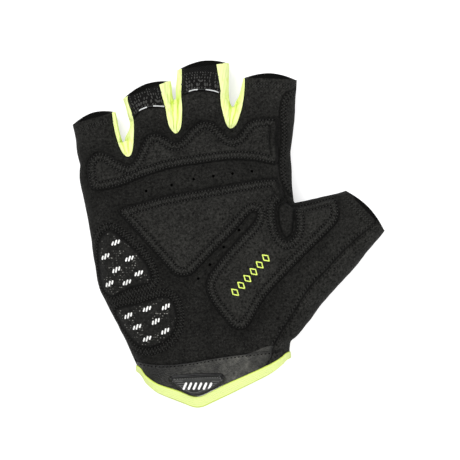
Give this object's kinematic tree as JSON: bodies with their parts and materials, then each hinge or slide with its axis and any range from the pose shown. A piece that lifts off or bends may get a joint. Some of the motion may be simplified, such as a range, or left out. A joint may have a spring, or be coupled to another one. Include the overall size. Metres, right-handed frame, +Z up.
{
  "type": "half-finger cycling glove",
  "caption": "Half-finger padded cycling glove for the right hand, lying palm up, with bright finger gussets, raised palm pads, a bound wrist hem and a pull tab.",
  "frame": {"origin": "centre of the top-view outline, on the surface that the back of the glove rests on", "axes": "+Z up out of the palm, +Y along the hand to the fingertips, +X to the thumb"},
  "size_m": [0.1436, 0.16, 0.0286],
  "materials": {
    "suede": "matt black-grey synthetic suede",
    "pad_suede": "matt dark grey synthetic suede with a light nap",
    "knit": "black stretch knit",
    "stretch_lime": "bright lime stretch cloth",
    "binding_lime": "bright lime elastic binding",
    "cuff_leather": "smooth grey-black synthetic leather, satin",
    "pad_cloth": "dark cloth with small white printed marks",
    "piping": "glossy black piping with two silver dashes",
    "tab_rubber": "ribbed dark rubber"
  },
  "bodies": {
    "root": {"palm_panel": "suede", "back_panel": "knit", "gusset_little_ring": "stretch_lime", "gusset_ring_middle": "stretch_lime", "gusset_middle_index": "stretch_lime", "index_side_panel": "knit", "thumb_side_panel": "knit", "cuff_panel": "cuff_leather", "finger_band_ring": "knit", "finger_band_middle": "knit", "knuckle_pad": "pad_suede", "palm_thumb_pad": "pad_suede", "upper_heel_pad": "pad_cloth", "lower_heel_pad": "pad_cloth", "thumb_crotch_patch": "suede", "ring_piping": "piping", "middle_piping": "piping", "pull_tab": "tab_rubber", "cuff_binding": "binding_lime"}
  },
  "joints": []
}
